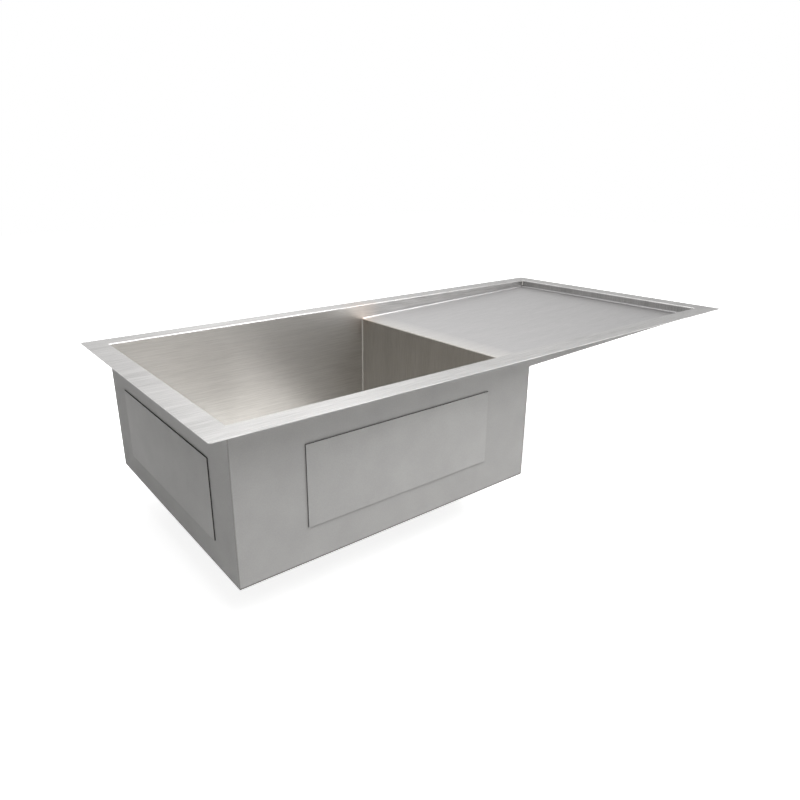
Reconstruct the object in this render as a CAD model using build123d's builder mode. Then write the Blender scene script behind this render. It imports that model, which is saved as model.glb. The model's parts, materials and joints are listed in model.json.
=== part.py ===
from build123d import *
import os
from math import atan, cos, sin

# Undermount kitchen sink: one bowl on the left and a drainboard on the right, folded from
# stainless sheet and welded, with a basket waste. Millimetres, +X to the right, +Y to the
# back, +Z up. The origin is the centre of the rim's top face, which goes under the worktop.

# Driving dimensions of the sink
overall_length = 1060.0
overall_width = 500.0
rim_reach = 35.0
rim_corner_radius = 4.0
sheet = 1.2
fold_radius = 1.0
board_fold_radius = 2.5
seam_rise = 0.8
bowl_length = 497.0
bowl_depth = 210.0
floor_fall = 4.0
board_drop_at_bowl = 28.0
board_drop_at_end = 15.0

# Driving dimensions of the sound-deadening pads
pad_thickness = 2.0
pad_length = 312.0
pad_height = 112.0
front_pad_drop = 48.5
front_pad_shift = 3.0
left_pad_drop = 60.5
end_floor_pad_run = 110.0
end_floor_pad_span = 160.0
long_floor_pad_run = 90.0
long_floor_pad_span = 190.0
floor_pad_margin = 26.0
board_pad_length = 300.0
board_pad_width = 220.0

# Driving dimensions of the waste
waste_hole_radius = 45.0
waste_flange_radius = 57.0
seat_clearance = 3.0
seat_depth = 4.0
land_margin = 6.0
thread_radius = 42.85
body_wall = 1.5
entry_radius = 4.0
throat_depth = 42.0
dish_fold_radius = 5.0
dish_drop = 6.0
outlet_fold_radius = 3.0
spud_radius = 23.9
spud_length = 24.0
nut_clearance = 0.15
washer_clearance = 0.3
gasket_thickness = 1.0
washer_thickness = 3.0
washer_radius = 55.0
friction_ring_thickness = 1.0
nut_height = 9.0
nut_radius = 50.0
nut_lug_reach = 6.0
nut_lug_width = 14.0
nut_lug_count = 6
nut_chamfer = 0.8

# Driving dimensions of the basket
travel_gap = 0.3
basket_wall = 0.8
basket_drop = 7.0
basket_lip_gap = 0.7
basket_lip_width = 3.4
basket_taper = 4.0
basket_floor_rise = 4.5
basket_fold_radius = 2.0
floor_hole_radius = 2.4
floor_hole_rings = 2
floor_hole_pitch = 9.5
floor_hole_step = 8
slot_width = 3.0
slot_height = 17.0
slot_margin = 4.5
slot_count = 20
post_radius = 3.0
post_clearance = 0.2
collar_radius = 6.0
collar_height = 1.6
knob_radius = 9.0
knob_height = 7.0
knob_neck_radius = 4.0
seal_radius = 29.0
seal_lip_radius = 24.0
seal_web = 3.2
seal_skirt = 4.0
seal_washer_radius = 12.0
seal_washer_thickness = 1.0
seal_nut_flats = 10.0
seal_nut_height = 4.0
catch_wall = 0.9
catch_bead = 0.6
catch_bead_height = 2.0
catch_slot_width = 1.0
spider_drop = 4.0
spider_height = 5.0
spider_hub_wall = 2.4
spider_arm_width = 3.0
spider_arm_count = 4
spider_gap = 0.1

# One overrun for every cut
overrun = 5.0

# Places that follow from the sizes above
half_length = overall_length / 2
half_width = overall_width / 2
outer_fold = fold_radius + sheet
board_outer_fold = board_fold_radius + sheet
board_seam_height = board_fold_radius + seam_rise
end_x = half_length - rim_reach
wall_y = half_width - rim_reach
bowl_x = -end_x + bowl_length / 2
divider_x = -end_x + bowl_length
divider_back_x = divider_x + sheet
board_x = divider_x + outer_fold
bowl_width = 2 * wall_y
floor_seam_z = -bowl_depth + fold_radius + seam_rise
land_z = -bowl_depth - floor_fall
seat_z = land_z - seat_depth
seat_radius = waste_flange_radius + seat_clearance
seat_lip_radius = seat_radius + outer_fold + seam_rise
land_half = seat_lip_radius + land_margin
board_slope = (board_drop_at_bowl - board_drop_at_end) / (end_x - divider_x)
board_angle = atan(board_slope)
waste = (bowl_x, 0)
waste_axis = Axis((bowl_x, 0, 0), (0, 0, 1))
waste_section = Plane(origin=(bowl_x, 0, 0), z_dir=(0, -1, 0), x_dir=(1, 0, 0))


def waste_level(z):
    """Horizontal plane centred on the waste."""
    return Plane.XY.offset(z).shift_origin((bowl_x, 0, z))


def board_z(x, above=0):
    """Height at x of the plane that lies above the drainboard's top face and parallel to it."""
    return -board_drop_at_bowl + (x - divider_x) * board_slope + above / cos(board_angle)


def folded_section(plane, corners, radii, thickness):
    """Section of a folded sheet: corners follow its shown face, and the metal is on their right."""
    with BuildSketch(plane) as section:
        with BuildLine():
            FilletPolyline(*corners, radius=radii)
            offset(amount=thickness, side=Side.RIGHT)
        make_face()
    return section.sketch


def mitre(side_x, side_y):
    """Plane at 45 degrees through a corner of the rim, facing the end panel."""
    corner = (side_x * half_length, side_y * half_width, 0)
    return Plane(origin=corner, z_dir=(side_x, -side_y, 0))


with BuildSketch() as rim_outline:
    RectangleRounded(overall_length, overall_width, rim_corner_radius)

board_seam = Plane(
    origin=(divider_x, 0, board_z(divider_x, board_seam_height)),
    z_dir=(-sin(board_angle), 0, cos(board_angle)),
)

# Front panel: rim, fold and wall in one sheet. The wall is cut away under the drainboard,
# which leaves the apron, and the cut follows the underside of the divider's fold.
with BuildPart() as front_side_panel:
    rim_and_wall = [(-half_width, 0), (-wall_y, 0), (-wall_y, floor_seam_z)]
    extrude(
        folded_section(Plane.YZ, rim_and_wall, outer_fold, sheet),
        amount=half_length,
        both=True,
    )
    extrude(rim_outline.sketch, amount=bowl_depth, both=True, mode=Mode.INTERSECT)
    split(bisect_by=mitre(-1, -1), keep=Keep.BOTTOM)
    split(bisect_by=mitre(1, -1), keep=Keep.BOTTOM)
    with BuildSketch(Plane.XZ):
        with BuildLine():
            low = (divider_back_x, -bowl_depth - overrun)
            far_x = half_length + overrun
            FilletPolyline(
                low,
                (divider_back_x, board_z(divider_back_x, -sheet)),
                (board_x, board_z(board_x, -sheet)),
                (board_x, board_z(board_x, board_seam_height)),
                (far_x, board_z(far_x, board_seam_height)),
                (far_x, -bowl_depth - overrun),
                low,
                radius=(fold_radius, 0, 0, 0, 0, 0),
                close=True,
            )
        make_face()
    extrude(amount=half_width, both=True, mode=Mode.SUBTRACT)
front_side_panel.part.label = "front_side_panel"

with BuildPart() as back_side_panel:
    mirror(front_side_panel.part, about=Plane.XZ)
back_side_panel.part.label = "back_side_panel"

# End panels: the left one is the bowl's end wall, the right one the drainboard's low upstand.
with BuildPart() as left_end_panel:
    rim_and_wall = [(-half_length, 0), (-end_x, 0), (-end_x, floor_seam_z)]
    extrude(
        folded_section(Plane.XZ, rim_and_wall, outer_fold, sheet),
        amount=half_width,
        both=True,
    )
    extrude(rim_outline.sketch, amount=bowl_depth, both=True, mode=Mode.INTERSECT)
    split(bisect_by=mitre(-1, -1), keep=Keep.TOP)
    split(bisect_by=mitre(-1, 1), keep=Keep.TOP)
left_end_panel.part.label = "left_end_panel"

with BuildPart() as right_end_panel:
    wall_and_rim = [(end_x, -board_drop_at_end), (end_x, 0), (half_length, 0)]
    extrude(
        folded_section(Plane.XZ, wall_and_rim, outer_fold, sheet),
        amount=half_width,
        both=True,
    )
    extrude(rim_outline.sketch, amount=bowl_depth, both=True, mode=Mode.INTERSECT)
    split(bisect_by=mitre(1, -1), keep=Keep.TOP)
    split(bisect_by=mitre(1, 1), keep=Keep.TOP)
    split(bisect_by=board_seam, keep=Keep.TOP)
right_end_panel.part.label = "right_end_panel"

# Divider: the bowl's right wall, folded over at the top where the drainboard starts.
with BuildPart() as divider_wall:
    wall_and_lip = [
        (divider_x, floor_seam_z),
        (divider_x, board_z(divider_x)),
        (board_x + overrun, board_z(board_x + overrun)),
    ]
    extrude(
        folded_section(Plane.XZ, wall_and_lip, outer_fold, sheet),
        amount=wall_y,
        both=True,
    )
    split(bisect_by=Plane.YZ.offset(board_x), keep=Keep.BOTTOM)
divider_wall.part.label = "divider_wall"


def floor_form(outwards, edge_radius, floor_z):
    """The bowl's lower end as a solid: a tray with folded edges over a flat pyramid."""
    with BuildPart() as form:
        with BuildSketch(Plane.XY.offset(floor_z)):
            with Locations(waste):
                Rectangle(bowl_length + 2 * outwards, bowl_width + 2 * outwards)
        extrude(amount=floor_seam_z - floor_z)
        fillet(form.faces().sort_by(Axis.Z)[0].edges(), edge_radius)
        with BuildSketch(Plane.XY.offset(floor_z)):
            with Locations(waste):
                Rectangle(bowl_length - 2 * fold_radius, bowl_width - 2 * fold_radius)
        with BuildSketch(Plane.XY.offset(floor_z - floor_fall)):
            with Locations(waste):
                Rectangle(2 * land_half, 2 * land_half)
        loft(ruled=True)
    return form.part


# Bowl floor: the space between two such forms a sheet apart, so four facets fall to the
# waste and meet in creases. The round seat is pressed down to take the waste's flange.
with BuildPart() as bowl_floor:
    add(floor_form(sheet, outer_fold, -bowl_depth - sheet))
    add(floor_form(0, fold_radius, -bowl_depth), mode=Mode.SUBTRACT)
    with BuildSketch(waste_level(land_z)):
        Circle(seat_lip_radius)
    extrude(amount=floor_fall, both=True, mode=Mode.SUBTRACT)
    seat_corners = [
        (waste_hole_radius, seat_z),
        (seat_radius, seat_z),
        (seat_radius, land_z),
        (seat_lip_radius, land_z),
    ]
    seat_radii = (fold_radius, outer_fold)
    revolve(folded_section(waste_section, seat_corners, seat_radii, sheet), waste_axis)
bowl_floor.part.label = "bowl_floor"


def board_form(outwards, edge_radius, below):
    """The drainboard's tray as a solid, open towards the bowl."""
    with BuildPart() as form:
        with BuildSketch(Plane.XZ):
            with BuildLine():
                Polyline(
                    (board_x, board_z(board_x, -below)),
                    (end_x + outwards, board_z(end_x + outwards, -below)),
                    (end_x + outwards, board_z(end_x + outwards, board_seam_height)),
                    (board_x, board_z(board_x, board_seam_height)),
                    close=True,
                )
            make_face()
        extrude(amount=wall_y + outwards, both=True)
        underside = form.faces().sort_by(SortBy.AREA)[-2:].sort_by(Axis.Z)[0]
        fillet(underside.edges().sort_by(Axis.X)[1:], edge_radius)
    return form.part


with BuildPart() as drainboard:
    add(board_form(sheet, board_outer_fold, sheet))
    add(board_form(0, board_fold_radius, 0), mode=Mode.SUBTRACT)
drainboard.part.label = "drainboard"

# Sound-deadening pads: rubber sheet glued flat to the outside of the walls, floor and board.
with BuildPart() as pad_front:
    with BuildSketch(Plane.XZ.offset(wall_y + sheet)):
        with Locations((bowl_x + front_pad_shift, -front_pad_drop - pad_height / 2)):
            Rectangle(pad_length, pad_height)
    extrude(amount=pad_thickness)
pad_front.part.label = "pad_front"

with BuildPart() as pad_back:
    mirror(pad_front.part, about=Plane.XZ)
pad_back.part.label = "pad_back"

with BuildPart() as pad_left:
    with BuildSketch(Plane.YZ.offset(-end_x - sheet)):
        with Locations((0, -left_pad_drop - pad_height / 2)):
            Rectangle(pad_length, pad_height)
    extrude(amount=-pad_thickness)
pad_left.part.label = "pad_left"

with BuildPart() as pad_divider:
    with BuildSketch(Plane.YZ.offset(divider_back_x)):
        with Locations((0, -left_pad_drop - pad_height / 2)):
            Rectangle(pad_length, pad_height)
    extrude(amount=pad_thickness)
pad_divider.part.label = "pad_divider"


def floor_pad(name, direction, wall_distance, run, span):
    """A pad on one facet of the floor's underside, run long towards the waste and span wide."""
    facet_top = Vector(*waste, -bowl_depth - sheet) + direction * wall_distance
    facet_foot = Vector(*waste, -bowl_depth - sheet - floor_fall) + direction * land_half
    towards_waste = (facet_foot - facet_top).normalized()
    facet = Plane(
        origin=facet_top,
        x_dir=towards_waste,
        z_dir=towards_waste.cross(Vector(-direction.Y, direction.X, 0)),
    )
    with BuildPart() as pad:
        with BuildSketch(facet):
            with Locations((floor_pad_margin + run / 2, 0)):
                Rectangle(run, span)
        extrude(amount=pad_thickness)
    pad.part.label = name
    return pad.part


end_facet_top = bowl_length / 2 - fold_radius
long_facet_top = bowl_width / 2 - fold_radius
end_pad = (end_facet_top, end_floor_pad_run, end_floor_pad_span)
long_pad = (long_facet_top, long_floor_pad_run, long_floor_pad_span)
floor_pads = [
    floor_pad("floor_pad_left", Vector(-1, 0, 0), *end_pad),
    floor_pad("floor_pad_right", Vector(1, 0, 0), *end_pad),
    floor_pad("floor_pad_front", Vector(0, -1, 0), *long_pad),
    floor_pad("floor_pad_back", Vector(0, 1, 0), *long_pad),
]

with BuildPart() as board_pad:
    middle_x = (board_x + end_x) / 2
    board_underside = Plane(
        origin=(middle_x, 0, board_z(middle_x, -sheet)),
        x_dir=(cos(board_angle), 0, sin(board_angle)),
        z_dir=(sin(board_angle), 0, -cos(board_angle)),
    )
    with BuildSketch(board_underside):
        Rectangle(board_pad_length, board_pad_width)
    extrude(amount=pad_thickness)
board_pad.part.label = "board_pad"

# Waste body: one drawn and rolled wall, from the outlet spud up through the dish and the
# throat to the flange that is clamped on the floor's seat.
body_top_z = seat_z + gasket_thickness + body_wall
throat_radius = thread_radius - body_wall
bore_radius = spud_radius - body_wall
dish_z = body_top_z - throat_depth
outlet_z = dish_z - dish_drop
spud_z = outlet_z - spud_length


def dish_surface_z(radius):
    """Height of the dish's upper face, before its folds are rounded."""
    return dish_z - (throat_radius - radius) * dish_drop / (throat_radius - bore_radius)


with BuildPart() as strainer_body:
    body_corners = [
        (bore_radius, spud_z),
        (bore_radius, outlet_z),
        (throat_radius, dish_z),
        (throat_radius, body_top_z),
        (waste_flange_radius, body_top_z),
    ]
    body_radii = (outlet_fold_radius, dish_fold_radius, entry_radius)
    revolve(folded_section(waste_section, body_corners, body_radii, body_wall), waste_axis)
strainer_body.part.label = "strainer_body"


def ring(name, top_z, outer_radius, inner_radius, thickness):
    """A flat ring round the waste, hung below top_z."""
    with BuildPart() as flat_ring:
        with BuildSketch(waste_level(top_z)):
            Circle(outer_radius)
            Circle(inner_radius, mode=Mode.SUBTRACT)
        extrude(amount=-thickness)
    flat_ring.part.label = name
    return flat_ring.part


seat_under_z = seat_z - sheet
washer_bore = thread_radius + washer_clearance
gasket_bore = throat_radius + entry_radius
flange_gasket = ring(
    "flange_gasket",
    seat_z + gasket_thickness,
    waste_flange_radius,
    gasket_bore,
    gasket_thickness,
)
lower_washer = ring(
    "lower_washer", seat_under_z, washer_radius, washer_bore, washer_thickness
)
friction_ring = ring(
    "friction_ring",
    seat_under_z - washer_thickness,
    washer_radius,
    washer_bore,
    friction_ring_thickness,
)

# Locknut: a round nut with lugs for a wrench.
nut_top_z = seat_under_z - washer_thickness - friction_ring_thickness
with BuildPart() as locknut:
    with BuildSketch(waste_level(nut_top_z)):
        Circle(nut_radius)
        with PolarLocations(nut_radius, nut_lug_count):
            Rectangle(2 * nut_lug_reach, nut_lug_width)
        Circle(thread_radius + nut_clearance, mode=Mode.SUBTRACT)
    extrude(amount=-nut_height)
    chamfer(locknut.faces().sort_by(Axis.Z)[0].outer_wire().edges(), nut_chamfer)
locknut.part.label = "locknut"

# Basket's pieces: post and knob, cup, seal, washer, nut and catch, all on the waste's axis.
basket_rim_z = body_top_z - basket_drop
basket_floor_z = dish_z + basket_floor_rise
basket_under_z = basket_floor_z - basket_wall
basket_lip_radius = throat_radius - basket_lip_gap
basket_top_radius = basket_lip_radius - basket_lip_width
basket_base_radius = basket_top_radius - basket_taper
post_hole_radius = post_radius + post_clearance
catch_radius = post_hole_radius + catch_wall
hub_bore_radius = catch_radius + catch_bead + travel_gap

# Outlet spider: a hub on cross bars, at the top of the outlet spud.
spider_top_z = outlet_z - spider_drop
with BuildPart() as outlet_spider:
    with BuildSketch(waste_level(spider_top_z)):
        with PolarLocations(bore_radius / 2, spider_arm_count):
            Rectangle(bore_radius, spider_arm_width)
        Circle(hub_bore_radius + spider_hub_wall)
        Circle(bore_radius - spider_gap, mode=Mode.INTERSECT)
        Circle(hub_bore_radius, mode=Mode.SUBTRACT)
    extrude(amount=-spider_height)
outlet_spider.part.label = "outlet_spider"

# Basket cup: a tapered cup with a rolled-out lip, rings of holes in its floor and a row of
# upright slots in its wall.
with BuildPart() as basket_cup:
    cup_corners = [
        (post_hole_radius, basket_floor_z),
        (basket_base_radius, basket_floor_z),
        (basket_top_radius, basket_rim_z),
        (basket_lip_radius, basket_rim_z),
    ]
    cup_section = folded_section(
        waste_section, cup_corners, basket_fold_radius, basket_wall
    )
    revolve(cup_section, waste_axis)
    with BuildSketch(waste_level(basket_floor_z)):
        for ring_number in range(1, floor_hole_rings + 1):
            ring_radius = collar_radius + ring_number * floor_hole_pitch
            with PolarLocations(ring_radius, ring_number * floor_hole_step):
                Circle(floor_hole_radius)
    extrude(amount=basket_wall, both=True, mode=Mode.SUBTRACT)
    with BuildSketch(waste_level(basket_floor_z + basket_fold_radius + slot_margin)):
        with PolarLocations(basket_top_radius, slot_count):
            Rectangle(2 * (basket_taper + overrun), slot_width)
    extrude(amount=slot_height, mode=Mode.SUBTRACT)
basket_cup.part.label = "basket_cup"

# Post: a round bar with a collar that sits on the basket's floor and a domed knob on top.
collar_top_z = basket_floor_z + collar_height
knob_under_z = basket_rim_z - knob_height
seal_top_z = basket_under_z
seal_web_z = seal_top_z - seal_web
seal_nut_z = seal_web_z - seal_washer_thickness
catch_top_z = seal_nut_z - seal_nut_height
catch_end_z = spider_top_z - spider_height - catch_bead_height
with BuildPart() as basket_post:
    with BuildSketch(waste_section):
        with BuildLine():
            knob_rim = (knob_radius, knob_under_z + knob_height / 3)
            Polyline(
                (0, basket_rim_z),
                (0, catch_end_z),
                (post_radius, catch_end_z),
                (post_radius, basket_floor_z),
                (collar_radius, basket_floor_z),
                (collar_radius, collar_top_z),
                (knob_neck_radius, collar_top_z),
                (knob_neck_radius, knob_under_z),
                (knob_radius, knob_under_z),
                knob_rim,
            )
            TangentArc((0, basket_rim_z), knob_rim, tangent=(1, 0))
        make_face()
    revolve(axis=waste_axis)
basket_post.part.label = "basket_post"

# Seal: a rubber disc with a skirt, whose underside lies on the dish.
with BuildPart() as stopper_seal:
    with BuildSketch(waste_section):
        with BuildLine():
            Polyline(
                (post_hole_radius, seal_top_z),
                (seal_radius, seal_top_z),
                (seal_radius, dish_surface_z(seal_radius) + travel_gap),
                (seal_lip_radius, dish_surface_z(seal_lip_radius) + travel_gap),
                (seal_lip_radius - seal_skirt, dish_surface_z(seal_lip_radius) + travel_gap),
                (seal_washer_radius + seal_skirt / 2, seal_web_z),
                (post_hole_radius, seal_web_z),
                close=True,
            )
        make_face()
    revolve(axis=waste_axis)
stopper_seal.part.label = "stopper_seal"

seal_washer = ring(
    "seal_washer",
    seal_web_z,
    seal_washer_radius,
    post_hole_radius,
    seal_washer_thickness,
)

with BuildPart() as seal_nut:
    with BuildSketch(waste_level(seal_nut_z)):
        RegularPolygon(seal_nut_flats / 2, side_count=6, major_radius=False)
        Circle(post_radius + nut_clearance, mode=Mode.SUBTRACT)
    extrude(amount=-seal_nut_height)
seal_nut.part.label = "seal_nut"

# Catch: a slit sleeve with a bead, which clicks past the spider's hub.
with BuildPart() as post_catch:
    with BuildSketch(waste_section):
        with BuildLine():
            bead_z = catch_end_z + catch_bead_height
            Polyline(
                (post_hole_radius, catch_top_z),
                (post_hole_radius, catch_end_z),
                (catch_radius, catch_end_z),
                (catch_radius + catch_bead, (catch_end_z + bead_z) / 2),
                (catch_radius, bead_z),
                (catch_radius, catch_top_z),
                close=True,
            )
        make_face()
    revolve(axis=waste_axis)
    slit_length = 2 * (catch_radius + overrun)
    with BuildSketch(waste_level(catch_end_z)):
        Rectangle(catch_slot_width, slit_length)
        Rectangle(slit_length, catch_slot_width)
    extrude(amount=(catch_top_z - catch_end_z) / 2, mode=Mode.SUBTRACT)
post_catch.part.label = "post_catch"

os.makedirs("parts", exist_ok=True)
export_step(front_side_panel.part, "parts/front_side_panel.step")
export_step(back_side_panel.part, "parts/back_side_panel.step")
export_step(left_end_panel.part, "parts/left_end_panel.step")
export_step(right_end_panel.part, "parts/right_end_panel.step")
export_step(divider_wall.part, "parts/divider_wall.step")
export_step(bowl_floor.part, "parts/bowl_floor.step")
export_step(drainboard.part, "parts/drainboard.step")
export_step(pad_front.part, "parts/pad_front.step")
export_step(pad_back.part, "parts/pad_back.step")
export_step(pad_left.part, "parts/pad_left.step")
export_step(pad_divider.part, "parts/pad_divider.step")
export_step(board_pad.part, "parts/board_pad.step")
export_step(strainer_body.part, "parts/strainer_body.step")
export_step(locknut.part, "parts/locknut.step")
export_step(outlet_spider.part, "parts/outlet_spider.step")
export_step(basket_cup.part, "parts/basket_cup.step")
export_step(basket_post.part, "parts/basket_post.step")
export_step(stopper_seal.part, "parts/stopper_seal.step")
export_step(seal_nut.part, "parts/seal_nut.step")
export_step(post_catch.part, "parts/post_catch.step")
for piece in (*floor_pads, flange_gasket, lower_washer, friction_ring, seal_washer):
    export_step(piece, f"parts/{piece.label}.step")
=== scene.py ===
import json
import math

import bpy
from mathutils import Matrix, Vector

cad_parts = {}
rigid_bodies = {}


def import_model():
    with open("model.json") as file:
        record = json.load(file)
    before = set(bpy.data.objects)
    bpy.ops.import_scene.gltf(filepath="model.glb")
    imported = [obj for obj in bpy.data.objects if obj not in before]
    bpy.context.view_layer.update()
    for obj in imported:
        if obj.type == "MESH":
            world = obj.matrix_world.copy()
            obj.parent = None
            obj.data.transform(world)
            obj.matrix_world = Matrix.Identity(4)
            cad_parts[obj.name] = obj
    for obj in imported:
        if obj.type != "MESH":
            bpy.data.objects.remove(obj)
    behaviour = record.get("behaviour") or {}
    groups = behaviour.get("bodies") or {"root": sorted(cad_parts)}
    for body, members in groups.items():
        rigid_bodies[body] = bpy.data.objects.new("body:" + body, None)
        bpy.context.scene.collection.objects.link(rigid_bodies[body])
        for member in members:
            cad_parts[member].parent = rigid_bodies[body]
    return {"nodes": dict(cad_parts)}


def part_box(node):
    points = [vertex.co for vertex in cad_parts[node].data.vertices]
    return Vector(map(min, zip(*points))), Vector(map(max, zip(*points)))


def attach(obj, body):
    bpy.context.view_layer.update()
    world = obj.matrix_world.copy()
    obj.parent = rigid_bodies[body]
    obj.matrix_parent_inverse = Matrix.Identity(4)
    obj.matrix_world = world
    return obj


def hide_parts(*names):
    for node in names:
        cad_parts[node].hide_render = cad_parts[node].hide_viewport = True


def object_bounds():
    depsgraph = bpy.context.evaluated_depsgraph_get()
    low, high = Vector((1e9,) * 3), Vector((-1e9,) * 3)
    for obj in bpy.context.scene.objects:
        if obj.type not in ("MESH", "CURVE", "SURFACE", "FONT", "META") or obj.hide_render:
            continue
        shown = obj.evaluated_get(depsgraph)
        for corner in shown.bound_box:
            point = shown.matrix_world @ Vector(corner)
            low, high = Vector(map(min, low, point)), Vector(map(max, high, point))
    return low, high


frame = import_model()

# Undermount kitchen sink: folded stainless sheet with a deep bowl on the left, a sunken
# drainboard on the right and a basket waste. Metres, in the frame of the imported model.

cad_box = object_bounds()
nodes = frame["nodes"]
mm = 0.001

# Front and back side panels
# Each is one length of 1.2 mm grade 304 stainless sheet, brushed lengthwise and folded into
# rim, bowl wall and drainboard apron. Outside, its walls carry a sprayed grey undercoat that
# deadens sound, and whose overspray fades out under the rim.
sheet = 1.2 * mm
outer_x, outer_y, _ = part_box("drainboard")[1]
divider_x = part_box("divider_wall")[0].x
divider_top_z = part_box("divider_wall")[1].z


def linear(colour):
    """Scene-linear colour of an sRGB hex value."""
    shares = [int(colour[place:place + 2], 16) / 255 for place in (1, 3, 5)]
    return [*(share / 12.92 if share <= 0.04045 else ((share + 0.055) / 1.055) ** 2.4
              for share in shares), 1]


def add_node(tree, kind, inputs=(), **settings):
    """A shader node with its settings, and its inputs set to a value or linked to a socket."""
    made = tree.nodes.new(kind)
    for name, value in settings.items():
        setattr(made, name, value)
    for name, value in dict(inputs).items():
        if isinstance(value, bpy.types.NodeSocket):
            tree.links.new(value, made.inputs[name])
        else:
            made.inputs[name].default_value = value
    return made


def new_material(name):
    """An empty node material, with the socket that gives a point's place."""
    material = bpy.data.materials.new(name)
    material.use_nodes = True
    material.node_tree.nodes.clear()
    coordinates = add_node(material.node_tree, "ShaderNodeTexCoord")
    return material, material.node_tree, coordinates.outputs["Object"]


def finish_nodes(names, material):
    """Gives CAD nodes their finish."""
    for name in names:
        nodes[name].data.materials.clear()
        nodes[name].data.materials.append(material)


# The belt's scratches are about 0.1 mm wide, too fine to show, so they are drawn as bundles
# of scratches a millimetre wide, over a slower drift of the sheet's tone.
scratch_length = 45 * mm
scratch_width = 1.1 * mm
scratch_depth = 0.01 * mm
drift_length = 200 * mm
drift_width = 24 * mm

# The bowl's walls are drawn paler than the rim and the board, as painted light: a lit copy of
# the same steel. The rim and the board are also rougher. The walls' finish fades out just past
# the divider.
rim_fold_z = -1 * mm
rim_fold_width = 2 * mm
wall_end_x = divider_x + 45 * mm

# At a grazing angle a smooth metal mirrors nearly all light. Brushed steel mirrors less, and
# this grey is its share there.
grazing_steel = "#D3D3D3"

# The heat of the weld at the divider's back corner leaves a faint straw tint round it.
tinted_weld = (divider_x, outer_y, divider_top_z / 2)
tint_reach = 60 * mm
straw_tint = "#B8A292"

# The spray gun leaves a fine stipple, drawn a little coarser here, and clouds of thicker and
# thinner coat. Scratches stretch the steel's sheen, and the thin coat's sheen follows it.
stipple_size = 1.8 * mm
stipple_depth = 0.15 * mm
cloud_size = 45 * mm
coat_roughness = 0.75
sheen_stretch = 0.7


def undercoat(tree, place, tones):
    """The undercoat's colour, from its dark tone to its pale tone, and its stipple."""
    stipple = add_node(tree, "ShaderNodeTexNoise", {
        "Vector": place,
        "Scale": 1 / stipple_size,
        "Detail": 3.0,
        "Roughness": 0.6,
    })
    cloud = add_node(tree, "ShaderNodeTexNoise", {
        "Vector": place,
        "Scale": 1 / cloud_size,
        "Detail": 3.0,
    })
    thickness = add_node(tree, "ShaderNodeMix", {
        "Factor": 0.5,
        "A": stipple.outputs["Fac"],
        "B": cloud.outputs["Fac"],
    })
    colour = add_node(tree, "ShaderNodeMix", {
        "Factor": thickness.outputs["Result"],
        "A": linear(tones[0]),
        "B": linear(tones[1]),
    }, data_type="RGBA")
    return colour.outputs["Result"], stipple.outputs["Fac"]


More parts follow.
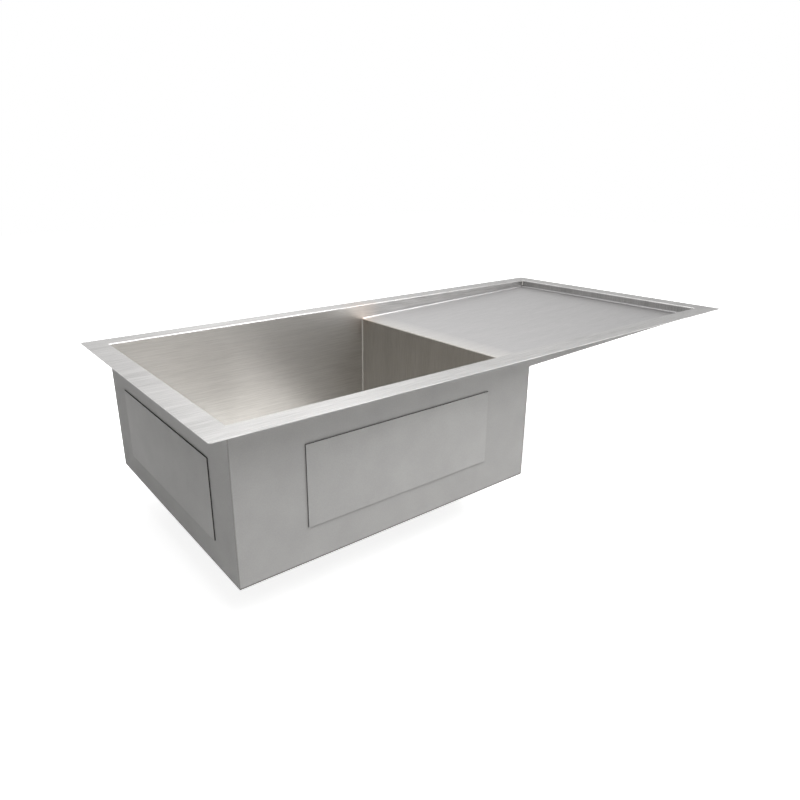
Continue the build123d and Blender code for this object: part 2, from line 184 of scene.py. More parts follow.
def brushed_sheet(name, along, across, coated, flat=("#949392", "#C4C3C2"),
                  wall=("#C3C1BE", "#DAD8D5"), coat=("#8E8D8C", "#ABAAA8")):
    """Brushed stainless sheet whose outside is undercoated.

    along says on which axes the scratches are long, and across which way lies across them.
    coated builds the nodes that say where the undercoat is. flat, wall and coat give the dark
    and the pale tone of the rim's finish, the walls' finish and the undercoat. The walls' tones
    are paler than the rim's as painted light.
    """
    material, tree, place = new_material(name)
    scratch_place = add_node(tree, "ShaderNodeMapping", {
        "Vector": place,
        "Scale": [1 / (scratch_length if axis in along else scratch_width) for axis in "XYZ"],
    })
    scratches = add_node(tree, "ShaderNodeTexNoise", {
        "Vector": scratch_place.outputs["Vector"],
        "Scale": 1.0,
        "Detail": 4.0,
        "Roughness": 0.65,
    })
    drift_place = add_node(tree, "ShaderNodeMapping", {
        "Vector": place,
        "Scale": [1 / (drift_length if axis in along else drift_width) for axis in "XYZ"],
    })
    drift = add_node(tree, "ShaderNodeTexNoise", {
        "Vector": drift_place.outputs["Vector"],
        "Scale": 1.0,
        "Detail": 2.0,
    })
    brushing = add_node(tree, "ShaderNodeMix", {
        "Factor": 0.25,
        "A": scratches.outputs["Fac"],
        "B": drift.outputs["Fac"],
    })
    streaks = add_node(tree, "ShaderNodeMapRange", {
        "Value": brushing.outputs["Result"],
        "From Min": 0.34,
        "From Max": 0.66,
    })
    flat_colour = add_node(tree, "ShaderNodeMix", {
        "Factor": streaks.outputs["Result"],
        "A": linear(flat[0]),
        "B": linear(flat[1]),
    }, data_type="RGBA")
    # Painted light: the walls' tones are a paler, lit copy of the same steel.
    lit_wall_colour = add_node(tree, "ShaderNodeMix", {
        "Factor": streaks.outputs["Result"],
        "A": linear(wall[0]),
        "B": linear(wall[1]),
    }, data_type="RGBA")
    parts = add_node(tree, "ShaderNodeSeparateXYZ", {"Vector": place})
    below_rim = add_node(tree, "ShaderNodeMapRange", {
        "Value": parts.outputs["Z"],
        "From Min": rim_fold_z,
        "From Max": rim_fold_z - rim_fold_width,
    })
    round_bowl = add_node(tree, "ShaderNodeMapRange", {
        "Value": parts.outputs["X"],
        "From Min": wall_end_x,
        "From Max": divider_x,
    })
    is_wall = add_node(tree, "ShaderNodeMath",
                       {0: below_rim.outputs["Result"], 1: round_bowl.outputs["Result"]},
                       operation="MULTIPLY")
    clean_colour = add_node(tree, "ShaderNodeMix", {
        "Factor": is_wall.outputs["Value"],
        "A": flat_colour.outputs["Result"],
        "B": lit_wall_colour.outputs["Result"],
    }, data_type="RGBA")
    from_weld = add_node(tree, "ShaderNodeVectorMath", {0: place, 1: tinted_weld},
                         operation="DISTANCE")
    tint = add_node(tree, "ShaderNodeMapRange", {
        "Value": from_weld.outputs["Value"],
        "From Min": 0.0,
        "From Max": tint_reach,
        "To Min": 0.3,
        "To Max": 0.0,
    }, interpolation_type="SMOOTHSTEP")
    steel_colour = add_node(tree, "ShaderNodeMix", {
        "Factor": tint.outputs["Result"],
        "A": clean_colour.outputs["Result"],
        "B": linear(straw_tint),
    }, data_type="RGBA")
    flat_roughness = add_node(tree, "ShaderNodeMapRange", {
        "Value": streaks.outputs["Result"],
        "To Min": 0.42,
        "To Max": 0.36,
    })
    wall_roughness = add_node(tree, "ShaderNodeMapRange", {
        "Value": streaks.outputs["Result"],
        "To Min": 0.34,
        "To Max": 0.28,
    })
    steel_roughness = add_node(tree, "ShaderNodeMix", {
        "Factor": is_wall.outputs["Value"],
        "A": flat_roughness.outputs["Result"],
        "B": wall_roughness.outputs["Result"],
    })
    coat_colour, stipple = undercoat(tree, place, coat)
    is_coated = coated(tree, place, place.node.outputs["Normal"])
    colour = add_node(tree, "ShaderNodeMix", {
        "Factor": is_coated,
        "A": steel_colour.outputs["Result"],
        "B": coat_colour,
    }, data_type="RGBA")
    roughness = add_node(tree, "ShaderNodeMix", {
        "Factor": is_coated,
        "A": steel_roughness.outputs["Result"],
        "B": coat_roughness,
    })
    metallic = add_node(tree, "ShaderNodeMath", {0: 1.0, 1: is_coated}, operation="SUBTRACT")
    relief = add_node(tree, "ShaderNodeMix", {
        "Factor": is_coated,
        "A": scratches.outputs["Fac"],
        "B": stipple,
    })
    depth = add_node(tree, "ShaderNodeMapRange", {
        "Value": is_coated,
        "To Min": scratch_depth,
        "To Max": stipple_depth,
    })
    bump = add_node(tree, "ShaderNodeBump", {
        "Strength": 0.5,
        "Distance": depth.outputs["Result"],
        "Height": relief.outputs["Result"],
    })
    across_scratches = add_node(tree, "ShaderNodeCombineXYZ", dict(zip("XYZ", across)))
    surface = add_node(tree, "ShaderNodeBsdfPrincipled", {
        "Base Color": colour.outputs["Result"],
        "Metallic": metallic.outputs["Value"],
        "Roughness": roughness.outputs["Result"],
        "Specular Tint": linear(grazing_steel),
        "Anisotropic": sheen_stretch,
        "Tangent": across_scratches.outputs["Vector"],
        "Normal": bump.outputs["Normal"],
    })
    add_node(tree, "ShaderNodeOutputMaterial", {"Surface": surface.outputs["BSDF"]})
    return material


# The undercoat covers the walls' outer faces, up to where its overspray ends on the rim's
# underside. It isn't on faces that look up, such as the rim's top.
overspray_start = 1 * mm
overspray_end = 9 * mm
looks_up = 0.3


def outside_of_walls(axis, outer_face):
    """Nodes that say where a wall whose outer face is at outer_face on axis is undercoated."""
    def coated(tree, place, normal):
        parts = add_node(tree, "ShaderNodeSeparateXYZ", {"Vector": place})
        facing = add_node(tree, "ShaderNodeSeparateXYZ", {"Vector": normal})
        away = add_node(tree, "ShaderNodeMath", {0: parts.outputs[axis]}, operation="ABSOLUTE")
        reach = add_node(tree, "ShaderNodeMath",
                         {0: away.outputs["Value"], 1: outer_face}, operation="SUBTRACT")
        outside = add_node(tree, "ShaderNodeMath",
                           {0: reach.outputs["Value"], 1: -sheet / 2}, operation="GREATER_THAN")
        sprayed = add_node(tree, "ShaderNodeMapRange", {
            "Value": reach.outputs["Value"],
            "From Min": overspray_start,
            "From Max": overspray_end,
            "To Min": 1.0,
            "To Max": 0.0,
        }, interpolation_type="SMOOTHSTEP")
        not_upwards = add_node(tree, "ShaderNodeMath",
                               {0: facing.outputs["Z"], 1: looks_up}, operation="LESS_THAN")
        coat = add_node(tree, "ShaderNodeMath",
                        {0: outside.outputs["Value"], 1: sprayed.outputs["Result"]},
                        operation="MULTIPLY")
        coat = add_node(tree, "ShaderNodeMath",
                        {0: coat.outputs["Value"], 1: not_upwards.outputs["Value"]},
                        operation="MULTIPLY")
        return coat.outputs["Value"]
    return coated


finish_nodes(("front_side_panel", "back_side_panel"), brushed_sheet(
    "brushed_stainless_side_panel", "X", (0, 1, 1), outside_of_walls("Y", outer_y),
))

# Left and right end panels
# The same sheet, mitred to the side panels, welded and ground flush. The rim is brushed the
# same way all round, so here its scratches run across it, and those of the walls run down.
finish_nodes(("left_end_panel", "right_end_panel"), brushed_sheet(
    "brushed_stainless_end_panel", "XZ", (0, 1, 0), outside_of_walls("X", outer_x),
))

# Divider
# The bowl's right wall, welded between the side panels and folded over at the top. Its back,
# under the drainboard, is undercoated. Its brushed side is drawn darker than the other walls':
# painted shade, a shaded copy of the same steel.
divider_shaded_tones = ("#ADAAA5", "#C4C1BC")
looks_back = 0.1


def back_of_divider(tree, place, normal):
    """Nodes that say where the divider faces the space under the drainboard."""
    back = add_node(tree, "ShaderNodeVectorMath", {0: normal, 1: (1, 0, -1)},
                    operation="DOT_PRODUCT")
    coat = add_node(tree, "ShaderNodeMath", {0: back.outputs["Value"], 1: looks_back},
                    operation="GREATER_THAN")
    return coat.outputs["Value"]


finish_nodes(("divider_wall",), brushed_sheet(
    "brushed_stainless_divider", "XZ", (0, 1, 0), back_of_divider, wall=divider_shaded_tones,
))

# Bowl floor
# A pan with folded edges. Four creases fall to the waste, whose round seat is pressed down.
# The underside is undercoated, drawn darker than the walls' coat as painted shade, which also
# draws the dark line along the pan's folded bottom edge.
waste_low, waste_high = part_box("strainer_body")
bowl_x = (waste_low.x + waste_high.x) / 2
shaded_floor_coat = ("#696866", "#757472")
looks_down = -0.02
pan_edge = 20 * mm


def underside_of_floor(tree, place, normal):
    """Nodes that say where the floor's pan faces down, or away from the waste."""
    facing = add_node(tree, "ShaderNodeSeparateXYZ", {"Vector": normal})
    down = add_node(tree, "ShaderNodeMath", {0: facing.outputs["Z"], 1: looks_down},
                    operation="LESS_THAN")
    from_waste = add_node(tree, "ShaderNodeVectorMath", {0: place, 1: (bowl_x, 0, 0)},
                          operation="SUBTRACT")
    level = add_node(tree, "ShaderNodeVectorMath",
                     {0: from_waste.outputs["Vector"], 1: (1, 1, 0)}, operation="MULTIPLY")
    outwards = add_node(tree, "ShaderNodeVectorMath",
                        {0: level.outputs["Vector"], 1: normal}, operation="DOT_PRODUCT")
    edge = add_node(tree, "ShaderNodeMath",
                    {0: outwards.outputs["Value"], 1: pan_edge}, operation="GREATER_THAN")
    coat = add_node(tree, "ShaderNodeMath",
                    {0: down.outputs["Value"], 1: edge.outputs["Value"]}, operation="MAXIMUM")
    return coat.outputs["Value"]


finish_nodes(("bowl_floor",), brushed_sheet(
    "brushed_stainless_floor", "X", (0, 1, 1), underside_of_floor, coat=shaded_floor_coat,
))

# Drainboard
# A shallow sloping pan that drains into the bowl, brushed lengthwise and evenly. It is
# undercoated below and on the outside of its folded edges, as the walls it is welded to.
board_tones = ("#A3A2A2", "#B3B2B2")


def outside_of_board(tree, place, normal):
    """Nodes that say where the drainboard's pan is seen from below or from outside."""
    facing = add_node(tree, "ShaderNodeSeparateXYZ", {"Vector": normal})
    down = add_node(tree, "ShaderNodeMath", {0: facing.outputs["Z"], 1: looks_down},
                    operation="LESS_THAN")
    parts = add_node(tree, "ShaderNodeSeparateXYZ", {"Vector": place})
    sideways = add_node(tree, "ShaderNodeMath", {0: parts.outputs["Y"]}, operation="ABSOLUTE")
    beside = add_node(tree, "ShaderNodeMath",
                      {0: sideways.outputs["Value"], 1: outer_y - sheet / 2},
                      operation="GREATER_THAN")
    beyond = add_node(tree, "ShaderNodeMath", {0: parts.outputs["X"], 1: outer_x - sheet / 2},
                      operation="GREATER_THAN")
    outside = add_node(tree, "ShaderNodeMath",
                       {0: beside.outputs["Value"], 1: beyond.outputs["Value"]},
                       operation="MAXIMUM")
    coat = add_node(tree, "ShaderNodeMath",
                    {0: down.outputs["Value"], 1: outside.outputs["Value"]},
                    operation="MAXIMUM")
    return coat.outputs["Value"]


finish_nodes(("drainboard",), brushed_sheet(
    "brushed_stainless_drainboard", "X", (0, 1, 1), outside_of_board, flat=board_tones,
))

# Ground welds inside
# The panels are TIG welded along the bowl's four upright corners and the board's two at the
# back and front. Inside, each weld is ground to a smooth hollow of about 2 mm radius.
weld_radius = 2 * mm
weld_sink = 0.1 * mm
weld_hollow = 0.15
grinding_width = 1.5 * mm
grinding_length = 12 * mm
fold = 2.5 * mm
rim_weld_top_z = -sheet - fold / 2
inner_x = outer_x - sheet
inner_y = outer_y - sheet
floor_seam_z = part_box("left_end_panel")[0].z
board_end_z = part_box("right_end_panel")[0].z


def select_none():
    """Operators act on all that is selected, so nothing is left selected before one runs."""
    for piece in bpy.context.view_layer.objects:
        piece.select_set(False)


def finish_piece(piece, name, material, body="sink", smooth_angle=40):
    """Names a new piece, shades it, puts its place in its mesh and gives it its finish."""
    bpy.ops.object.mode_set(mode="OBJECT")
    piece.name = name
    piece.data.name = name
    bpy.ops.object.transform_apply(location=True, rotation=True, scale=True)
    bpy.ops.object.shade_smooth_by_angle(angle=math.radians(smooth_angle))
    piece.data.materials.clear()
    piece.data.materials.append(material)
    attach(piece, body)


def ground_weld(name, corner_x, corner_y, low, high, material):
    """A hollow fillet in an upright corner, from low up to a top that slopes to the corner."""
    into_x = -1 if corner_x > bowl_x else 1
    into_y = -1 if corner_y > 0 else 1
    leg = weld_radius + weld_sink
    place = (
        corner_x + into_x * (leg / 2 - weld_sink),
        corner_y + into_y * (leg / 2 - weld_sink),
        (low + high) / 2,
    )
    select_none()
    bpy.ops.mesh.primitive_cube_add(size=1, location=place, scale=(leg, leg, high - low))
    piece = bpy.context.object
    bpy.ops.object.mode_set(mode="EDIT")
    bpy.ops.mesh.select_mode(type="EDGE")
    bpy.ops.mesh.select_all(action="DESELECT")
    bpy.ops.object.mode_set(mode="OBJECT")
    for edge in piece.data.edges:
        ends = [piece.data.vertices[index].co for index in edge.vertices]
        edge.select = all(end.x * into_x > 0 and end.y * into_y > 0 for end in ends)
    bpy.ops.object.mode_set(mode="EDIT")
    bpy.ops.mesh.bevel(offset=weld_radius, segments=8, profile=weld_hollow, affect="EDGES")
    bpy.ops.mesh.select_all(action="SELECT")
    top = (corner_x + into_x * weld_radius, corner_y + into_y * weld_radius, high)
    slope = (into_x, into_y, 1)
    bpy.ops.mesh.bisect(plane_co=top, plane_no=slope, use_fill=True, clear_outer=True)
    finish_piece(piece, name, material)


weld_metal, tree, place = new_material("ground_stainless_weld")
grinding_place = add_node(tree, "ShaderNodeMapping", {
    "Vector": place,
    "Scale": [1 / grinding_width, 1 / grinding_width, 1 / grinding_length],
})
grinding = add_node(tree, "ShaderNodeTexNoise", {
    "Vector": grinding_place.outputs["Vector"],
    "Scale": 1.0,
    "Detail": 3.0,
})
weld_colour = add_node(tree, "ShaderNodeMix", {
    "Factor": grinding.outputs["Fac"],
    "A": linear("#BDBAB6"),
    "B": linear("#CBC8C4"),
}, data_type="RGBA")
weld_bump = add_node(tree, "ShaderNodeBump", {
    "Strength": 0.5,
    "Distance": 0.05 * mm,
    "Height": grinding.outputs["Fac"],
})
weld_surface = add_node(tree, "ShaderNodeBsdfPrincipled", {
    "Base Color": weld_colour.outputs["Result"],
    "Metallic": 1.0,
    "Roughness": 0.45,
    "Normal": weld_bump.outputs["Normal"],
})
add_node(tree, "ShaderNodeOutputMaterial", {"Surface": weld_surface.outputs["BSDF"]})

for side_name, side_y in (("front", -inner_y), ("back", inner_y)):
    ground_weld(f"bowl_weld_left_{side_name}", -inner_x, side_y,
                floor_seam_z, rim_weld_top_z, weld_metal)
    ground_weld(f"bowl_weld_right_{side_name}", divider_x, side_y,
                floor_seam_z, divider_top_z - fold, weld_metal)
    ground_weld(f"board_weld_{side_name}", inner_x, side_y,
                board_end_z, rim_weld_top_z, weld_metal)

# Weld beads outside
# Outside, where only the undercoat goes over them, the corner welds are left as they were
# laid: narrow beads with a ripple for each dab of the filler rod. They are drawn darker than
# the undercoat, as painted shade along each outer corner's seam.
bead_radius = 0.8 * mm
bead_inset = 0.5 * mm
bead_pitch = 1.6 * mm
bead_ripple = 1.12
dust_size = 3 * mm


def weld_bead(low, high):
    """An upright bead on the world's Z axis, as a round rod that swells and narrows."""
    select_none()
    bpy.ops.mesh.primitive_circle_add(vertices=10, radius=bead_radius, fill_type="NGON",
                                      location=(0, 0, low))
    piece = bpy.context.object
    bpy.ops.object.mode_set(mode="EDIT")
    bpy.ops.mesh.select_all(action="SELECT")
    half_ripples = 2 * round((high - low) / bead_pitch)
    for step in range(half_ripples):
        bpy.ops.mesh.extrude_region_move(
            TRANSFORM_OT_translate={"value": (0, 0, (high - low) / half_ripples)},
        )
        change = bead_ripple if step % 2 == 0 else 1 / bead_ripple
        bpy.ops.transform.resize(value=(change, change, 1))
    bpy.ops.mesh.select_all(action="SELECT")
    bpy.ops.mesh.normals_make_consistent(inside=False)
    bpy.ops.object.mode_set(mode="OBJECT")
    return piece


shaded_bead_coat, tree, place = new_material("undercoated_weld_bead_shaded")
dust = add_node(tree, "ShaderNodeTexNoise", {
    "Vector": place,
    "Scale": 1 / dust_size,
    "Detail": 2.0,
})
# The beads are drawn darker than the undercoat: painted shade for the dark line at the seam.
bead_shade_colour = add_node(tree, "ShaderNodeMix", {
    "Factor": dust.outputs["Fac"],
    "A": linear("#7C7B79"),
    "B": linear("#8C8B89"),
}, data_type="RGBA")
bead_surface = add_node(tree, "ShaderNodeBsdfPrincipled", {
    "Base Color": bead_shade_colour.outputs["Result"],
    "Roughness": 0.6,
})
add_node(tree, "ShaderNodeOutputMaterial", {"Surface": bead_surface.outputs["BSDF"]})

beads = (
    ("left", -outer_x + bead_inset, rim_weld_top_z),
    ("right", divider_x + sheet - bead_inset, divider_top_z - 2 * fold),
)
for bead_side, bead_x, bead_top_z in beads:
    for side_name, side_y in (("front", -outer_y + bead_inset), ("back", outer_y - bead_inset)):
        bead = weld_bead(floor_seam_z, bead_top_z)
        bead.location = (bead_x, side_y, bead.location.z)
        finish_piece(bead, f"weld_bead_{bead_side}_{side_name}", shaded_bead_coat)

# Sound-deadening pads
# Rubber sheet, 2 mm thick, glued to the walls, the floor and the board before the undercoat
# is sprayed on. The spray covers the faces. The cut edges are drawn in dark rubber, which is
# partly the bare rubber there and partly painted shade in the gap round each pad.
pad_bevel = 0.6 * mm
pad_coat_tones = ("#8F8E8D", "#AEADAB")
cut_rubber_and_shade = "#3B3A38"
turned_away = 0.3


def merged_copy(node_name, piece_name):
    """A new piece with the CAD node's shape as one closed mesh, and in edit mode."""
    piece = bpy.data.objects.new(piece_name, nodes[node_name].data.copy())
    piece.data.name = piece_name
    bpy.context.scene.collection.objects.link(piece)
    select_none()
    piece.select_set(True)
    bpy.context.view_layer.objects.active = piece
    bpy.ops.object.mode_set(mode="EDIT")
    bpy.ops.mesh.select_all(action="SELECT")
    bpy.ops.mesh.remove_doubles(threshold=0.001 * mm)
    bpy.ops.mesh.dissolve_limited(angle_limit=math.radians(1))
    return piece


def undercoated_rubber(name, across, tones):
    """The undercoat on rubber, with the sheen and tones that it has on the sheet beside it."""
    material, tree, place = new_material(name)
    face_colour, stipple = undercoat(tree, place, tones)
    # The cut edges are dark rubber, partly bare rubber and partly painted shade round the pad.
    edge = add_node(tree, "ShaderNodeAttribute", attribute_name="shaded_cut_edge")
    colour = add_node(tree, "ShaderNodeMix", {
        "Factor": edge.outputs["Fac"],
        "A": face_colour,
        "B": linear(cut_rubber_and_shade),
    }, data_type="RGBA")
    bump = add_node(tree, "ShaderNodeBump", {
        "Strength": 0.5,
        "Distance": stipple_depth,
        "Height": stipple,
    })
    across_sheen = add_node(tree, "ShaderNodeCombineXYZ", dict(zip("XYZ", across)))
    surface = add_node(tree, "ShaderNodeBsdfPrincipled", {
        "Base Color": colour.outputs["Result"],
        "Roughness": coat_roughness,
        "Anisotropic": sheen_stretch,
        "Tangent": across_sheen.outputs["Vector"],
        "Normal": bump.outputs["Normal"],
    })
    add_node(tree, "ShaderNodeOutputMaterial", {"Surface": surface.outputs["BSDF"]})
    return material


upright_pad_coat = undercoated_rubber("undercoated_rubber_upright_sheen", (0, 0, 1),
                                      pad_coat_tones)
level_pad_coat = undercoated_rubber("undercoated_rubber_level_sheen", (0, 1, 0), pad_coat_tones)
# The floor's pads take the floor's darker coat, the same painted shade.
shaded_floor_pad_coat = undercoated_rubber("undercoated_rubber_floor_shaded", (0, 1, 0), shaded_floor_coat)

pads = {
    "pad_front": ((0, -1, 0), upright_pad_coat),
    "pad_back": ((0, 1, 0), upright_pad_coat),
    "pad_left": ((-1, 0, 0), level_pad_coat),
    "pad_divider": ((1, 0, 0), level_pad_coat),
    "floor_pad_left": ((0, 0, -1), shaded_floor_pad_coat),
    "floor_pad_right": ((0, 0, -1), shaded_floor_pad_coat),
    "floor_pad_front": ((0, 0, -1), shaded_floor_pad_coat),
    "floor_pad_back": ((0, 0, -1), shaded_floor_pad_coat),
    "board_pad": ((0, 0, -1), level_pad_coat),
}
for node_name, (direction, pad_coat) in pads.items():
    pad = merged_copy(node_name, f"{node_name}_coated")
    bpy.ops.mesh.bevel(offset=pad_bevel, segments=3, profile=0.5, affect="EDGES")
    finish_piece(pad, f"{node_name}_coated", pad_coat)
    shaded_cut_edge = pad.data.attributes.new("shaded_cut_edge", "FLOAT", "FACE")
    for face in pad.data.polygons:
        is_edge = face.normal.dot(Vector(direction)) < turned_away
        shaded_cut_edge.data[face.index].value = 1.0 if is_edge else 0.0
    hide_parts(node_name)

# Waste body and outlet spider
# Drawn from 1.5 mm stainless tube and sheet and polished on a lathe, which leaves fine rings
# round its axis. The throat and the outlet spud have rolled threads.
polish_pitch = 1.2 * mm


def turned_stainless(name, pale, dark, roughness):
    """Lathe-polished stainless, with rings round the waste's axis."""
    material, tree, place = new_material(name)
    from_axis = add_node(tree, "ShaderNodeMapping", {
        "Vector": place,
        "Location": (-bowl_x, 0, 0),
    })
    parts = add_node(tree, "ShaderNodeSeparateXYZ", {"Vector": from_axis.outputs["Vector"]})
    level = add_node(tree, "ShaderNodeCombineXYZ",
                     {"X": parts.outputs["X"], "Y": parts.outputs["Y"]})
    radius = add_node(tree, "ShaderNodeVectorMath", {0: level.outputs["Vector"]},
                      operation="LENGTH")
    ring_place = add_node(tree, "ShaderNodeCombineXYZ",
                          {"X": radius.outputs["Value"], "Y": parts.outputs["Z"]})
    rings = add_node(tree, "ShaderNodeTexNoise", {
        "Vector": ring_place.outputs["Vector"],
        "Scale": 1 / polish_pitch,
        "Detail": 3.0,
    })
    colour = add_node(tree, "ShaderNodeMix", {
        "Factor": rings.outputs["Fac"],
        "A": linear(dark),
        "B": linear(pale),
    }, data_type="RGBA")
    sheen = add_node(tree, "ShaderNodeMapRange", {
        "Value": rings.outputs["Fac"],
        "To Min": roughness + 0.05,
        "To Max": roughness - 0.05,
    })
    bump = add_node(tree, "ShaderNodeBump", {
        "Strength": 0.4,
        "Distance": 0.01 * mm,
        "Height": rings.outputs["Fac"],
    })
    surface = add_node(tree, "ShaderNodeBsdfPrincipled", {
        "Base Color": colour.outputs["Result"],
        "Metallic": 1.0,
        "Roughness": sheen.outputs["Result"],
        "Normal": bump.outputs["Normal"],
    })
    add_node(tree, "ShaderNodeOutputMaterial", {"Surface": surface.outputs["BSDF"]})
    return material


polished_steel = turned_stainless("lathe_polished_stainless", "#CFCDCA", "#BDBBB8", 0.18)
finish_nodes(("strainer_body", "outlet_spider"), polished_steel)

thread_height = 0.35 * mm
thread_flank = 0.6 * mm


def rolled_thread(name, radius, top_z, length, pitch):
    """A helical ridge that stands proud of a round wall, with its ends closed."""
    select_none()
    bpy.ops.mesh.primitive_circle_add(
        vertices=3, radius=thread_flank, rotation=(math.pi / 2, math.pi / 2, 0),
        location=(radius + thread_height - thread_flank, 0, top_z),
    )
    piece = bpy.context.object
    bpy.ops.object.transform_apply(location=True, rotation=True, scale=True)
    turns = length / pitch
    ridge = piece.modifiers.new("thread", "SCREW")
    ridge.axis = "Z"
    ridge.angle = 2 * math.pi * turns
    ridge.screw_offset = -length
    ridge.steps = round(72 * turns)
    ridge.render_steps = ridge.steps
    bpy.ops.object.modifier_apply(modifier=ridge.name)
    bpy.ops.object.mode_set(mode="EDIT")
    bpy.ops.mesh.select_all(action="SELECT")
    bpy.ops.mesh.fill_holes(sides=3)
    bpy.ops.mesh.select_all(action="SELECT")
    bpy.ops.mesh.normals_make_consistent(inside=False)
    bpy.ops.object.mode_set(mode="OBJECT")
    piece.location = (bowl_x, 0, 0)
    finish_piece(piece, name, polished_steel, smooth_angle=30)


thread_margin = 1.5 * mm
nut_low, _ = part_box("locknut")
throat_radius = 42.85 * mm
throat_thread_length = 17 * mm
throat_thread_pitch = 3 * mm
rolled_thread("throat_thread", throat_radius, nut_low.z - thread_margin,
              throat_thread_length, throat_thread_pitch)
spud_radius = 23.9 * mm
spud_thread_length = 18 * mm
spud_thread_pitch = 2.31 * mm
rolled_thread("spud_thread", spud_radius, waste_low.z + spud_thread_length + thread_margin,
              spud_thread_length, spud_thread_pitch)

# Gasket and rubber washer
# Moulded black rubber rings that clamp the waste on the floor's seat from above and below.
# The mould leaves a fine grain, and a pale bloom comes and goes over the black.
seal_edge_radius = 0.3 * mm
bloom_size = 5 * mm
mould_grain_size = 0.6 * mm
black_rubber, tree, place = new_material("moulded_black_rubber")
bloom = add_node(tree, "ShaderNodeTexNoise", {
    "Vector": place,
    "Scale": 1 / bloom_size,
    "Detail": 3.0,
})
rubber_colour = add_node(tree, "ShaderNodeMix", {
    "Factor": bloom.outputs["Fac"],
    "A": linear("#1B1B1B"),
    "B": linear("#2B2A2A"),
}, data_type="RGBA")
mould_grain = add_node(tree, "ShaderNodeTexNoise", {
    "Vector": place,
    "Scale": 1 / mould_grain_size,
    "Detail": 2.0,
})
rubber_bump = add_node(tree, "ShaderNodeBump", {
    "Strength": 0.4,
    "Distance": 0.03 * mm,
    "Height": mould_grain.outputs["Fac"],
})
rubber_surface = add_node(tree, "ShaderNodeBsdfPrincipled", {
    "Base Color": rubber_colour.outputs["Result"],
    "Roughness": 0.6,
    "Normal": rubber_bump.outputs["Normal"],
})
add_node(tree, "ShaderNodeOutputMaterial", {"Surface": rubber_surface.outputs["BSDF"]})


def rounded_rubber(node_name, body):
    """Stands for a rubber node, with its moulded edges rounded."""
    piece = merged_copy(node_name, f"{node_name}_moulded")
    bpy.ops.mesh.select_all(action="DESELECT")
    bpy.ops.mesh.edges_select_sharp(sharpness=math.radians(35))
    bpy.ops.mesh.bevel(offset=seal_edge_radius, segments=2, profile=0.5, affect="EDGES")
    finish_piece(piece, f"{node_name}_moulded", black_rubber, body)
    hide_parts(node_name)


rounded_rubber("flange_gasket", "sink")
rounded_rubber("lower_washer", "sink")

# Friction ring
# Pressed fibre board, which lets the nut turn without dragging the rubber washer round. Its
# brown fibres lie mostly one way in the board.
fibre_length = 4 * mm
fibre_width = 0.7 * mm
fibre_height = 0.4 * mm
fibre_board, tree, place = new_material("pressed_fibre_board")
fibre_place = add_node(tree, "ShaderNodeMapping", {
    "Vector": place,
    "Scale": [1 / fibre_length, 1 / fibre_width, 1 / fibre_height],
})
fibres = add_node(tree, "ShaderNodeTexNoise", {
    "Vector": fibre_place.outputs["Vector"],
    "Scale": 1.0,
    "Detail": 5.0,
    "Roughness": 0.7,
    "Distortion": 1.5,
})
fibre_colour = add_node(tree, "ShaderNodeMix", {
    "Factor": fibres.outputs["Fac"],
    "A": linear("#6B5A45"),
    "B": linear("#A08A6B"),
}, data_type="RGBA")
fibre_bump = add_node(tree, "ShaderNodeBump", {
    "Strength": 0.5,
    "Distance": 0.05 * mm,
    "Height": fibres.outputs["Fac"],
})
fibre_surface = add_node(tree, "ShaderNodeBsdfPrincipled", {
    "Base Color": fibre_colour.outputs["Result"],
    "Roughness": 0.9,
    "Normal": fibre_bump.outputs["Normal"],
})
add_node(tree, "ShaderNodeOutputMaterial", {"Surface": fibre_surface.outputs["BSDF"]})
finish_nodes(("friction_ring",), fibre_board)

# Locknut
# Die-cast zinc, left as cast. It is a dull grey, slightly mottled where the metal cooled
# unevenly, with the fine grain of the die.
mottle_size = 9 * mm
casting_grain_size = 0.8 * mm
zinc, tree, place = new_material("die_cast_zinc")
mottle = add_node(tree, "ShaderNodeTexNoise", {
    "Vector": place,
    "Scale": 1 / mottle_size,
    "Detail": 4.0,
})
zinc_colour = add_node(tree, "ShaderNodeMix", {
    "Factor": mottle.outputs["Fac"],
    "A": linear("#85888B"),
    "B": linear("#A9ACAE"),
}, data_type="RGBA")
casting_grain = add_node(tree, "ShaderNodeTexNoise", {
    "Vector": place,
    "Scale": 1 / casting_grain_size,
    "Detail": 3.0,
})
zinc_roughness = add_node(tree, "ShaderNodeMapRange", {
    "Value": mottle.outputs["Fac"],
    "To Min": 0.6,
    "To Max": 0.42,
})
zinc_bump = add_node(tree, "ShaderNodeBump", {
    "Strength": 0.6,
    "Distance": 0.06 * mm,
    "Height": casting_grain.outputs["Fac"],
})
zinc_surface = add_node(tree, "ShaderNodeBsdfPrincipled", {
    "Base Color": zinc_colour.outputs["Result"],
    "Metallic": 1.0,
    "Roughness": zinc_roughness.outputs["Result"],
    "Normal": zinc_bump.outputs["Normal"],
})
add_node(tree, "ShaderNodeOutputMaterial", {"Surface": zinc_surface.outputs["BSDF"]})
finish_nodes(("locknut",), zinc)

# Basket
# A pressed and perforated stainless cup with a turned post and knob. Below the cup, a washer
# and a nut hold the rubber seal, and a nylon catch runs in the spider's hub.
pressed_steel = turned_stainless("bright_pressed_stainless", "#D2D0CC", "#BFBDB9", 0.24)
finish_nodes(("basket_cup", "seal_washer"), pressed_steel)
turned_steel = turned_stainless("bright_turned_stainless", "#D6D4D1", "#C4C2BF", 0.14)
finish_nodes(("basket_post", "seal_nut"), turned_steel)
rounded_rubber("stopper_seal", "basket")

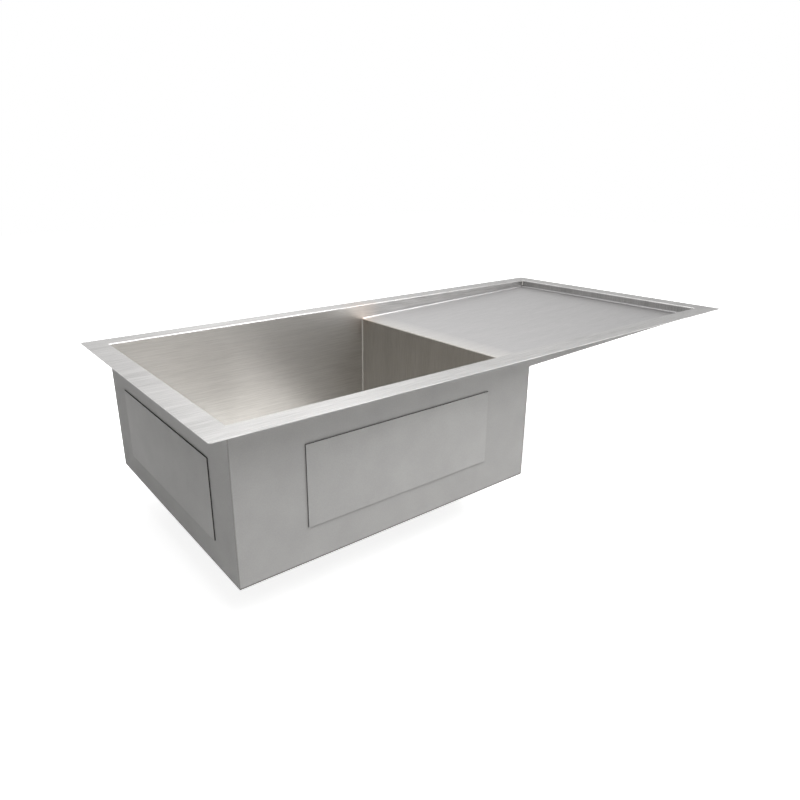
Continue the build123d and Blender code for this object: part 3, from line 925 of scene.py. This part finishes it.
flow_size = 4 * mm
nylon, tree, place = new_material("moulded_natural_nylon")
flow = add_node(tree, "ShaderNodeTexNoise", {
    "Vector": place,
    "Scale": 1 / flow_size,
    "Detail": 2.0,
})
nylon_colour = add_node(tree, "ShaderNodeMix", {
    "Factor": flow.outputs["Fac"],
    "A": linear("#D5D1C6"),
    "B": linear("#E3E0D6"),
}, data_type="RGBA")
nylon_roughness = add_node(tree, "ShaderNodeMapRange", {
    "Value": flow.outputs["Fac"],
    "To Min": 0.5,
    "To Max": 0.38,
})
nylon_surface = add_node(tree, "ShaderNodeBsdfPrincipled", {
    "Base Color": nylon_colour.outputs["Result"],
    "Roughness": nylon_roughness.outputs["Result"],
})
add_node(tree, "ShaderNodeOutputMaterial", {"Surface": nylon_surface.outputs["BSDF"]})
finish_nodes(("post_catch",), nylon)

# Studio
# A sheet of white paper below the sink, a white world and three softboxes. Paper and world
# glow for the camera and in reflections, so they show as white there. The paper's glow is
# weaker near the sink, where it keeps the sink's shadow.
paper_side = 12
paper_gap = 2 * mm
shadow_reach = 0.6
white_reach = 2.5


def is_seen(tree):
    """Whether a ray shows the surface, straight to the camera, in a mirror or through glass."""
    rays = add_node(tree, "ShaderNodeLightPath")
    seen = add_node(tree, "ShaderNodeMath",
                    {0: rays.outputs["Is Camera Ray"], 1: rays.outputs["Is Glossy Ray"]},
                    operation="MAXIMUM")
    seen = add_node(tree, "ShaderNodeMath",
                    {0: seen.outputs["Value"], 1: rays.outputs["Is Transmission Ray"]},
                    operation="MAXIMUM")
    return seen.outputs["Value"]


select_none()
bpy.ops.mesh.primitive_plane_add(size=paper_side, location=(0, 0, cad_box[0][2] - paper_gap))
studio_floor = bpy.context.object
studio_floor.name = "studio_floor"
paper, tree, place = new_material("white_paper")
diffuse = add_node(tree, "ShaderNodeBsdfDiffuse", {"Color": linear("#F4F4F4")})
away = add_node(tree, "ShaderNodeVectorMath", {0: place}, operation="LENGTH")
brightness = add_node(tree, "ShaderNodeMapRange", {
    "Value": away.outputs["Value"],
    "From Min": shadow_reach,
    "From Max": white_reach,
    "To Min": 0.8,
    "To Max": 1.0,
})
glow = add_node(tree, "ShaderNodeEmission", {
    "Color": linear("#FFFFFF"),
    "Strength": brightness.outputs["Result"],
})
lit_paper = add_node(tree, "ShaderNodeAddShader",
                     {0: diffuse.outputs["BSDF"], 1: glow.outputs["Emission"]})
shown_paper = add_node(tree, "ShaderNodeMixShader", {
    "Fac": is_seen(tree),
    1: diffuse.outputs["BSDF"],
    2: lit_paper.outputs["Shader"],
})
add_node(tree, "ShaderNodeOutputMaterial", {"Surface": shown_paper.outputs["Shader"]})
studio_floor.data.materials.append(paper)

world = bpy.data.worlds.new("studio")
bpy.context.scene.world = world
world.use_nodes = True
tree = world.node_tree
tree.nodes.clear()
shown = add_node(tree, "ShaderNodeBackground", {"Color": linear("#FFFFFF"), "Strength": 1.0})
lighting = add_node(tree, "ShaderNodeBackground", {
    "Color": linear("#FFFFFF"),
    "Strength": 0.23,
})
mixed = add_node(tree, "ShaderNodeMixShader", {
    "Fac": is_seen(tree),
    1: lighting.outputs["Background"],
    2: shown.outputs["Background"],
})
add_node(tree, "ShaderNodeOutputWorld", {"Surface": mixed.outputs["Shader"]})

lamp_distance = 2.3


def softbox(name, bearing, elevation, size, power):
    """A square lamp that faces the sink. Its bearing is 0 behind the sink and 90 to the right."""
    bearing = math.radians(bearing)
    elevation = math.radians(elevation)
    place = lamp_distance * Vector((
        math.cos(elevation) * math.sin(bearing),
        math.cos(elevation) * math.cos(bearing),
        math.sin(elevation),
    ))
    lamp = bpy.data.lights.new(name, "AREA")
    lamp.shape = "SQUARE"
    lamp.size = size
    lamp.energy = power
    holder = bpy.data.objects.new(name, lamp)
    holder.location = place
    holder.rotation_euler = (-place).to_track_quat("-Z", "Y").to_euler()
    bpy.context.scene.collection.objects.link(holder)


softbox("right_front_softbox", bearing=120, elevation=66, size=2.2, power=76)
softbox("front_softbox", bearing=180, elevation=62, size=2.2, power=36)
softbox("back_softbox", bearing=24, elevation=42, size=1.0, power=2.7)

# Camera, at the photograph's place
# Its place, its turn in degrees, its focal length and its principal point were fitted to the
# rim's corners and the sink's outline, in pixels of the photograph's 800 x 800 frame.
picture_side = 800
focal_length = 631.63
principal_x = 373.44
principal_y = 392.77
camera_place = (-0.74833, -0.811, 0.25511)
camera_turn = (70.73, 0.242, -37.251)
camera_data = bpy.data.cameras.new("camera")
camera_data.sensor_width = 36
camera_data.lens = focal_length / picture_side * camera_data.sensor_width
camera_data.shift_x = (picture_side / 2 - principal_x) / picture_side
camera_data.shift_y = (principal_y - picture_side / 2) / picture_side
camera_data.clip_start = 0.01
camera = bpy.data.objects.new("camera", camera_data)
camera.location = camera_place
camera.rotation_euler = [math.radians(angle) for angle in camera_turn]
bpy.context.scene.collection.objects.link(camera)
bpy.context.scene.camera = camera

bpy.context.scene.view_settings.view_transform = "Standard"
